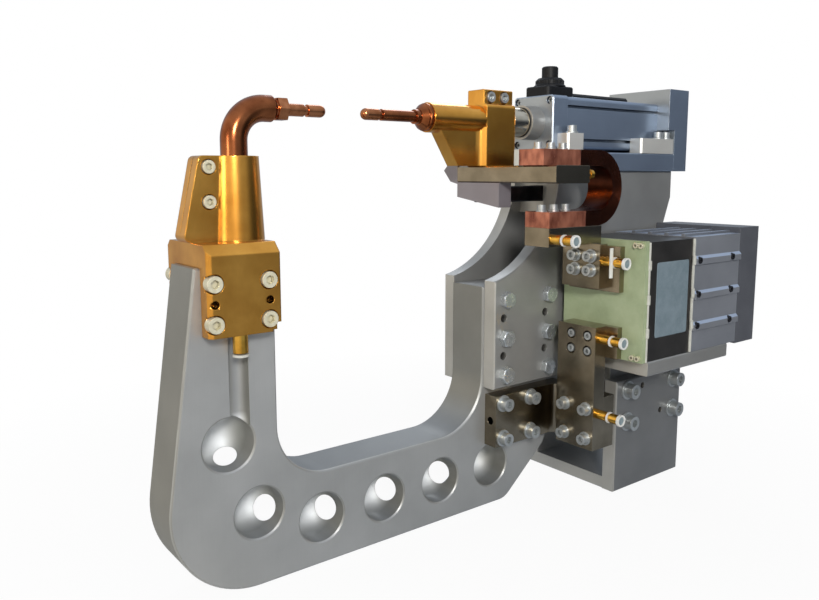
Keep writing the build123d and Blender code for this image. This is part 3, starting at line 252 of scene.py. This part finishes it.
def alloyPaint(name, look, shared=alloyShared):
    paint = Paint(name, look["edge"], Metallic=look.get("shine", 1.0))
    patches = paint.noise(look["patch"], detail=4.0, rough=0.5, stretch=look.get("smear", (1, 1, 1)))
    grain = paint.noise(shared["grain"], detail=2.0, rough=0.5, stretch=look["lines"])
    share = patches.clipped(*shared["patchMask"])
    shade = paint.ramp(grain, *shared["shade"])
    colour = paint.tinted(paint.blend(share, look["tone"], look["pale"]), shade)
    rough = grain * shared["grainRough"] + (1 - share) * shared["patchRough"]
    # the colour gets painted shade in the piece's own hollows
    paint.feed(Base_Color=paint.hollowShaded(colour), Normal=paint.bump(grain, look["grit"]),
               Roughness=rough + (look["rough"] - shared["roughDrop"]))
    return paint.material


# steel of screws, rod and slide; past beyond, an X in metres, it has the far colour
steel = {
    "zinc": dict(tone=(0.40, 0.42, 0.42), pale=(0.54, 0.56, 0.555), rough=0.32, patch=0.010,
                 edge=0.0008, shine=0.75),
    "cream": dict(tone=(0.62, 0.57, 0.40), pale=(0.80, 0.75, 0.57), rough=0.34, patch=0.008,
                  edge=0.0008, shine=0.4),
    "split": dict(tone=(0.60, 0.56, 0.40), pale=(0.84, 0.80, 0.62), rough=0.30, patch=0.010,
                  edge=0.0005, shine=0.5, beyond=0.432, far=(0.030, 0.031, 0.036)),
    "hexagon": dict(tone=(0.43, 0.455, 0.465), pale=(0.63, 0.66, 0.67), rough=0.25, patch=0.006,
                    edge=0.0006, shine=0.77),
    "dark": dict(tone=(0.012, 0.012, 0.014), pale=(0.035, 0.035, 0.04), rough=0.36, patch=0.02,
                 edge=0.0005),
    "chrome": dict(tone=(0.50, 0.43, 0.31), pale=(0.78, 0.71, 0.58), rough=0.10, patch=0.05,
                   edge=0.0004),
}
steelShared = dict(scratch=0.0006, lines=(1, 6, 1), patchMask=(0.32, 0.66), farBlur=0.001, reach=0.003,
                   grit=0.06, scratchRough=0.10, patchRough=0.10, roughDrop=0.06)


def steelPaint(name, look, shared=steelShared):
    paint = Paint(name, look["edge"], Metallic=look.get("shine", 1.0))
    patches = paint.noise(look["patch"], detail=4.0, rough=0.6)
    scratch = paint.noise(shared["scratch"], detail=2.0, rough=0.5, stretch=shared["lines"])
    share = patches.clipped(*shared["patchMask"])
    colour = paint.blend(share, look["tone"], look["pale"])
    if "far" in look:
        past = paint.along("X").clipped(look["beyond"] - shared["farBlur"], look["beyond"])
        colour = paint.blend(past, colour, look["far"])
    rough = scratch * shared["scratchRough"] + (1 - share) * shared["patchRough"]
    # the colour gets painted shade in the piece's own hollows
    paint.feed(Base_Color=paint.hollowShaded(colour, shared["reach"]), Normal=paint.bump(scratch, shared["grit"]),
               Roughness=rough + (look["rough"] - shared["roughDrop"]))
    return paint.material


# plastics, rubber, paint and epoxy
coat = {
    "black": dict(tone=(0.004, 0.004, 0.005), pale=(0.010, 0.010, 0.011), rough=0.50, patch=0.004,
                  edge=0.0008, gloss=0.25),
    "rubber": dict(tone=(0.012, 0.012, 0.012), pale=(0.030, 0.029, 0.028), rough=0.65, patch=0.002,
                   edge=0.0005),
    "lacquer": dict(tone=(0.014, 0.013, 0.012), pale=(0.030, 0.028, 0.026), rough=0.32, patch=0.030,
                    edge=0.0008),
    "cover": dict(tone=(0.072, 0.076, 0.088), pale=(0.10, 0.105, 0.12), rough=0.40, patch=0.05,
                  edge=0.0016),
    "white": dict(tone=(0.62, 0.62, 0.59), pale=(0.80, 0.80, 0.77), rough=0.40, patch=0.008,
                  edge=0.0004),
    "pale": dict(tone=(0.46, 0.46, 0.41), pale=(0.62, 0.62, 0.56), rough=0.42, patch=0.012,
                 edge=0.0004),
    "epoxy": dict(tone=(0.27, 0.33, 0.19), pale=(0.39, 0.45, 0.28), rough=0.26, patch=0.035,
                  edge=0.0005),
    "bore": dict(tone=(0.16, 0.21, 0.23), pale=(0.24, 0.30, 0.32), rough=0.35, patch=0.003,
                 edge=0.0003),
    "blank": dict(tone=(0.145, 0.195, 0.225), pale=(0.20, 0.255, 0.29), rough=0.26, patch=0.020,
                  edge=0.0003),
}
coatShared = dict(grain=0.0005, patchMask=(0.30, 0.70), grit=0.12, grainRough=0.12, roughDrop=0.06)


def coatPaint(name, look, shared=coatShared):
    paint = Paint(name, look["edge"], Metallic=0.0, Specular_IOR_Level=look.get("gloss", 0.5))
    patches = paint.noise(look["patch"], detail=4.0, rough=0.6)
    grain = paint.noise(shared["grain"], detail=2.0, rough=0.6)
    colour = paint.blend(patches.clipped(*shared["patchMask"]), look["tone"], look["pale"])
    paint.feed(Base_Color=colour, Normal=paint.bump(grain, shared["grit"]),
               Roughness=grain * shared["grainRough"] + (look["rough"] - shared["roughDrop"]))
    return paint.material


# first the record's own slots, then the looks of single nodes and of new pieces
finishes = {
    "arm_alloy": satinPaint("satin arm", satin["arm"]),
    "plate_alloy": satinPaint("milled plate", satin["plate"]),
    "blue_alloy": satinPaint("anodised blue", satin["blue"]),
    "rib_alloy": satinPaint("extruded grey", satin["rib"]),
    "carrier_alloy": satinPaint("warm grey casting", satin["carrier"]),
    "zinc_steel": steelPaint("zinc plated steel", steel["zinc"]),
    "dark_steel": steelPaint("blackened steel", steel["dark"]),
    "rod_steel": steelPaint("hard chrome", steel["chrome"]),
    "holder_brass": alloyPaint("cast bronze", alloy["holder"]),
    "fitting_brass": alloyPaint("turned brass", alloy["fitting"]),
    "copper": alloyPaint("drawn copper", alloy["shank"]),
    "copper_bright": alloyPaint("bright copper", alloy["tip"]),
    "copper_dark": alloyPaint("foil copper", alloy["foil"]),
    "copper_terminal": alloyPaint("pressed copper", alloy["terminal"]),
    "bus_bronze": alloyPaint("busbar bronze", alloy["busbar"]),
    "black_plastic": coatPaint("black nylon", coat["black"]),
    "rubber": coatPaint("seal rubber", coat["rubber"]),
    "black_paint": coatPaint("black lacquer", coat["lacquer"]),
    "cover_paint": coatPaint("grey lacquer", coat["cover"]),
    "white_plastic": coatPaint("white plastic", coat["white"]),
    "pale_plastic": coatPaint("pale plastic", coat["pale"]),
    "green_epoxy": coatPaint("cast epoxy", coat["epoxy"]),
    "cream": steelPaint("passivated steel", steel["cream"]),
    "hexagon": steelPaint("hexagon screws", steel["hexagon"]),
    "split": steelPaint("transformer screws", steel["split"]),
    "bracket": satinPaint("bracket plate", satin["bracket"]),
    "foot": satinPaint("painted bright foot", satin["foot"]),
    "boreBlue": coatPaint("hose bore", coat["bore"]),
    "blankPlate": coatPaint("blank plate", coat["blank"]),
}
nodeLooks = {"fixed_holder_bolts": "cream", "actuator_feet": "foot", "transformer_screws": "split",
             "bracket_side_plate": "bracket", "bracket_spacer": "bracket", "bracket_bottom_plate": "bracket"}
for part in frame["record"]["subparts"]:
    mesh = nodes[part["node"]].data
    mesh.materials.clear()
    mesh.materials.append(finishes[nodeLooks.get(part["node"], part["material_slot"])])


# new surfaces: rings of points joined into a skin
# rings is an array (ring, point, xyz) in millimetres; each ring is closed and both ends get a cap
def skin(name, rings, body, finish):
    count, around = rings.shape[:2]
    first = np.arange(count - 1)[:, None] * around + np.arange(around)
    after = np.arange(count - 1)[:, None] * around + np.roll(np.arange(around), -1)
    quads = np.stack([first, after, after + around, first + around], axis=2).reshape(-1, 4)
    last = (count - 1) * around
    caps = [list(range(around))[::-1], list(range(last, last + around))]
    mesh = bpy.data.meshes.new(name)
    mesh.from_pydata((rings.reshape(-1, 3) / 1000).tolist(), [], quads.tolist() + caps)
    mesh.validate()
    work = bmesh.new()
    work.from_mesh(mesh)
    bmesh.ops.recalc_face_normals(work, faces=work.faces)
    work.to_mesh(mesh)
    work.free()
    mesh.materials.append(finishes[finish])
    piece = bpy.data.objects.new(name, mesh)
    bpy.context.scene.collection.objects.link(piece)
    if body:
        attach(piece, body)
    return piece


# rings of a plate that looks towards -Y: a rectangle with round corners, narrowed by edge at its face
def roundedPlate(spanX, spanZ, yFace, yBack, radius, edge, steps=7):
    turn = np.linspace(0, np.pi / 2, steps)
    angle = np.concatenate([turn + quarter * np.pi / 2 for quarter in range(4)])
    # the corners' centres
    x = sum(spanX) / 2 + np.repeat([1, -1, -1, 1], steps) * ((spanX[1] - spanX[0]) / 2 - radius)
    z = sum(spanZ) / 2 + np.repeat([1, 1, -1, -1], steps) * ((spanZ[1] - spanZ[0]) / 2 - radius)
    rings = []
    for inset, y in ((0, yBack), (0, yFace + edge), (edge, yFace)):
        roundX = (radius - inset) * np.cos(angle)
        roundZ = (radius - inset) * np.sin(angle)
        rings.append(np.stack([x + roundX, np.full_like(x, y), z + roundZ], axis=1))
    return np.array(rings)


# rings of a turned piece along -Y or -Z: a circle per pair of profile, (distance along the axis, radius)
alongY, alongZ = 1, 2


def turnedRings(profile, start, axis, around=40):
    turn = np.linspace(0, 2 * np.pi, around, endpoint=False)
    along, radius = np.array(profile, float).T
    side = alongZ if axis == alongY else alongY
    rings = np.empty((len(profile), around, 3))
    rings[:, :, 0] = start[0] + radius[:, None] * np.cos(turn)
    rings[:, :, side] = start[side] + radius[:, None] * np.sin(turn)
    rings[:, :, axis] = start[axis] - along[:, None]
    return rings


# laminated shunt: many thin copper leaves bent in a U; stations are for its upper run, bend and lower run
shuntLook = dict(near=-119.0, far=-81.0, thick=18.5, inner=26.75, centre=(311.0, -83.25), upperX=275.5,
                 lowerX=287.5, stations=(12, 97, 9), leaves=22, groove=0.5, gap=0.16, uneven=0.22, seed=7)


# the section of leaves' edges is carried along the U: each station has an inner point and a way outwards
def shuntRings(look):
    cx, cz = look["centre"]
    upperCount, bendCount, lowerCount = look["stations"]
    turn = np.linspace(np.pi / 2, -np.pi / 2, bendCount)
    upper = np.linspace(look["upperX"], cx, upperCount)[:-1]
    lower = np.linspace(cx, look["lowerX"], lowerCount)[1:]
    x = np.concatenate([upper, cx + look["inner"] * np.cos(turn), lower])
    z = np.concatenate([np.full(upper.size, cz + look["inner"]), cz + look["inner"] * np.sin(turn),
                        np.full(lower.size, cz - look["inner"])])
    outX = np.concatenate([np.zeros(upper.size), np.cos(turn), np.zeros(lower.size)])
    outZ = np.concatenate([np.ones(upper.size), np.sin(turn), -np.ones(lower.size)])
    # section: heights of the leaves' edges, with a fine groove between one leaf and the next
    leaf = look["thick"] / look["leaves"]
    start = np.arange(look["leaves"]) * leaf
    height = np.stack([start + look["gap"], start + leaf - look["gap"], start + leaf], axis=1).ravel()
    jitter = np.random.default_rng(look["seed"]).uniform(0, look["uneven"], (2, look["leaves"]))
    depth = np.stack([jitter, jitter, np.full_like(jitter, look["groove"])], axis=2).reshape(2, -1)
    depth[:, -1] = depth[:, -2]
    h = np.concatenate([[0], height, height[::-1], [0]])
    farSide = look["far"] - depth[0]
    nearSide = (look["near"] + depth[1])[::-1]
    y = np.concatenate([[look["far"]], farSide, nearSide, [look["near"]]])
    rings = np.empty((x.size, h.size, 3))
    rings[:, :, 0] = x[:, None] + outX[:, None] * h
    rings[:, :, 1] = y
    rings[:, :, 2] = z[:, None] + outZ[:, None] * h
    return rings


shuntStrap = skin("shuntStrap", shuntRings(shuntLook), None, "copper_dark")
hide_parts("shunt_loop")
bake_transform(shuntStrap)

# blank rating plate of the transformer
plateLook = dict(x=(353, 419), z=(-264, -172), face=-177.3, back=-176.4, radius=3.0, edge=0.3)
plateRings = roundedPlate(plateLook["x"], plateLook["z"], plateLook["face"], plateLook["back"],
                          plateLook["radius"], plateLook["edge"])
ratingPlate = skin("ratingPlate", plateRings, "root", "blankPlate")

# the transformer's two trim strips, each held by clips that wrap round it
trimLook = dict(x={"End": (334.4, 337.6), "Profile": (427.2, 430.2)}, z=(-291.5, -146.8), proud=-178.7,
                seat=-176.3, radius=0.5, edge=0.4)
clipLook = dict(z=(-174.0, -215.5, -256.0), half=6.0, proud=-180.2, wide=1.4, sunk=0.6, radius=1.0, edge=0.5)
for side, (x0, x1) in trimLook["x"].items():
    stripRings = roundedPlate((x0, x1), trimLook["z"], trimLook["proud"], trimLook["seat"],
                              trimLook["radius"], trimLook["edge"])
    strip = skin("trim" + side, stripRings, "root", "pale_plastic")
    for i, z in enumerate(clipLook["z"]):
        clipRings = roundedPlate((x0 - clipLook["wide"], x1), (z - clipLook["half"], z + clipLook["half"]),
                                 clipLook["proud"], trimLook["proud"] + clipLook["sunk"],
                                 clipLook["radius"], clipLook["edge"])
        clip = skin("clip" + side + str(i + 1), clipRings, "root", "pale_plastic")

# what shows inside the hose ends, and the seal ring of the holder's nipple
boreLook = dict(profile=((0.95, 5.1), (1.25, 5.1), (1.25, 3.6), (1.12, 3.2)),
                ends=((232, -152, -141.5), (312, -162, -171.8), (309, -164, -267), (309, -164, -362)))
for i, place in enumerate(boreLook["ends"]):
    bore = skin("hoseBore" + str(i + 1), turnedRings(boreLook["profile"], place, alongY), "root", "boreBlue")
sealLook = dict(profile=((0, 7.7), (0.3, 8.0), (2.4, 8.0), (2.7, 7.6)), place=(-124, -40, -239))
sealRings = turnedRings(sealLook["profile"], sealLook["place"], alongZ)
sealRing = skin("nippleSeal", sealRings, "root", "pale_plastic")

# the six arm screws with hexagon heads; columns and rows are the screws' places on the front plate
# flat is half the width across the flats, round is the face's circle as a share of it, turns in degrees
headLook = dict(columns=(229.0, 305.0), rows=(-220.8, -269.5, -316.3), seat=-47.6, high=8.0, flat=9.5,
                chamfer=1.1, round=0.95, turns=(0, 24, 41, 11, 18, 52))


# rings of a hexagon head towards -Y: the hexagon's own radius, cut down to a circle at the chamfer
def hexRings(x, z, look, turn, around=72):
    angle = np.linspace(0, 2 * np.pi, around, endpoint=False)
    sixth = np.pi / 3
    hexagon = look["flat"] / np.cos((angle + sixth / 2) % sixth - sixth / 2)
    face = look["flat"] * look["round"]
    corner = look["flat"] / math.cos(sixth / 2)
    limit = np.array([corner, corner, (corner + face) / 2, face])
    depth = np.array([0, look["high"] - look["chamfer"], look["high"] - look["chamfer"] / 2, look["high"]])
    radius = np.minimum(hexagon, limit[:, None])
    rings = np.empty((limit.size, around, 3))
    rings[:, :, 0] = x + radius * np.cos(angle + math.radians(turn))
    rings[:, :, 1] = (look["seat"] - depth)[:, None]
    rings[:, :, 2] = z + radius * np.sin(angle + math.radians(turn))
    return rings


armSeats = [(x, z) for x in headLook["columns"] for z in headLook["rows"]]
for i, ((x, z), turn) in enumerate(zip(armSeats, headLook["turns"])):
    head = skin("armScrewHead" + str(i + 1), hexRings(x, z, headLook, turn), "root", "hexagon")
    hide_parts("arm_bolts")
print("shunt, rating plate, trim, bores, seal and hexagon heads are made")


# camera: place in metres, turn in degrees, lens and sensor in millimetres
cameraLook = dict(place=(-0.4434, -0.7208, -0.0654), turn=(82.265, 0.089, -37.752), lens=33.93, sensor=36,
                  shift=-0.0266, nearest=0.02, farthest=60)
lens = bpy.data.cameras.new("view")
camera = bpy.data.objects.new("view", lens)
bpy.context.scene.collection.objects.link(camera)
camera.location = cameraLook["place"]
camera.rotation_euler = [math.radians(a) for a in cameraLook["turn"]]
lens.sensor_width = cameraLook["sensor"]
lens.lens = cameraLook["lens"]
lens.shift_y = cameraLook["shift"]
lens.clip_start = cameraLook["nearest"]
lens.clip_end = cameraLook["farthest"]
bpy.context.scene.camera = camera

# what polished metal mirrors: blue grey behind and above, warm and pale to the left, dark to the front right
roomLook = dict(back=(0.42, 0.47, 0.54), left=(0.98, 0.91, 0.79), leftFrom=(0.1, 0.75),
                dark=(0.050, 0.060, 0.080), front=(0.85, -0.53, 0.0), up=-0.55, fade=(0.80, 0.97),
                above=(0.72, 0.80, 0.92), aboveFrom=(0.35, 0.9), below=0.75,
                fill=(0.95, 0.97, 1.0), fillPower=0.36)
plainWhite = (1, 1, 1, 1)


# colour of the room in the direction way
def roomTone(graph, way, look):
    ahead = graph.node("VectorMath", {"operation": "DOT_PRODUCT"}, {0: way, 1: look["front"]}, "Value")
    upward = graph.part(way, "Z")
    pale = graph.blend((0 - graph.part(way, "X")).clipped(*look["leftFrom"]), look["back"], look["left"])
    pale = graph.blend(upward.clipped(*look["aboveFrom"]), pale, look["above"])
    return graph.blend((ahead + upward * look["up"]).clipped(*look["fade"]), pale, look["dark"])


# floor: near is the share of plain white under the object, which grows to all of it from start to end
floorLook = dict(height=-0.4915, half=15.0, tone=(0.86, 0.86, 0.86), rough=0.9, middle=(0.2, 0.0),
                 near=0.93, start=0.35, end=0.9)
floorMesh = bpy.data.meshes.new("studioFloor")
corners = [(x * floorLook["half"], y * floorLook["half"], floorLook["height"])
           for x, y in ((-1, -1), (1, -1), (1, 1), (-1, 1))]
floorMesh.from_pydata(corners, [], [(0, 1, 2, 3)])
studioFloor = bpy.data.objects.new("studioFloor", floorMesh)
bpy.context.scene.collection.objects.link(studioFloor)


# the camera sees a floor that fades to white before its far edge, and metal sees the room's tone in it
def floorPaint(look):
    paint = Paint("studio floor", Roughness=look["rough"], Base_Color=(*look["tone"], 1))
    seen = paint.node("LightPath", output="Is Camera Ray")
    shiny = paint.node("LightPath", output="Is Glossy Ray")
    middle = (*look["middle"], look["height"])
    away = paint.node("VectorMath", {"operation": "DISTANCE"}, {0: paint.place, 1: middle}, "Value")
    share = seen * (away.clipped(look["start"], look["end"]) * (1 - look["near"]) + look["near"])
    white = paint.node("Emission", None, {0: plainWhite, 1: 1.0})
    lit = paint.node("MixShader", None, {0: share, 1: Signal(paint, paint.shader.outputs[0]), 2: white})
    way = paint.node("VectorMath", {"operation": "NORMALIZE"}, {0: paint.place}, "Vector")
    flat = paint.node("VectorMath", {"operation": "MULTIPLY"}, {0: way, 1: (1, 1, 0)}, "Vector")
    mirrored = paint.node("Emission", None, {0: roomTone(paint, flat, roomLook), 1: roomLook["below"]})
    mixed = paint.node("MixShader", None, {0: shiny, 1: lit, 2: mirrored})
    paint.tree.links.new(mixed.socket, paint.tree.nodes["Material Output"].inputs["Surface"])
    return paint.material


floorMesh.materials.append(floorPaint(floorLook))

# world: white to the camera, the room's tone to metal, a plain fill to the rest
world = bpy.data.worlds.new("studio")
bpy.context.scene.world = world
world.use_nodes = True
sky = Graph(world.node_tree)
sky.tree.nodes.clear()
seen = sky.node("LightPath", output="Is Camera Ray")
through = sky.node("LightPath", output="Is Transmission Ray")
shiny = sky.node("LightPath", output="Is Glossy Ray")
room = roomTone(sky, sky.node("TexCoord", output="Generated"), roomLook)
fill = sky.node("Background", None, {0: (*roomLook["fill"], 1), 1: roomLook["fillPower"]})
mirrored = sky.node("Background", None, {0: room, 1: 1.0})
white = sky.node("Background", None, {0: plainWhite, 1: 1.0})
lit = sky.node("MixShader", None, {0: shiny, 1: fill, 2: mirrored})
direct = sky.node("Math", {"operation": "MAXIMUM"}, {0: seen, 1: through})
shown = sky.node("MixShader", None, {0: direct, 1: lit, 2: white})
sky.node("OutputWorld", None, {0: shown}, None)

# lamps: places and sizes in metres, power in watts
lampLook = {
    "key": dict(place=(-0.85, -1.60, 0.55), aim=(0.15, 0, -0.2), size=0.32, power=27,
                tint=(1.0, 0.985, 0.96)),
    "side": dict(place=(-1.9, -0.45, 0.15), aim=(0.1, 0, -0.2), size=0.4, power=4,
                 tint=(1.0, 0.93, 0.82)),
    "rim": dict(place=(1.5, 1.3, 1.3), aim=(0.2, 0, -0.2), size=1.0, power=10,
                tint=(0.90, 0.95, 1.0)),
}
for name, look in lampLook.items():
    light = bpy.data.lights.new(name, "AREA")
    light.size = look["size"]
    light.energy = look["power"]
    light.color = look["tint"]
    lamp = bpy.data.objects.new(name, light)
    lamp.location = look["place"]
    lamp.rotation_euler = (Vector(look["aim"]) - Vector(look["place"])).to_track_quat("-Z", "Y").to_euler()
    bpy.context.scene.collection.objects.link(lamp)
bpy.context.scene.view_settings.view_transform = "Standard"
print("camera, floor and lamps are set")
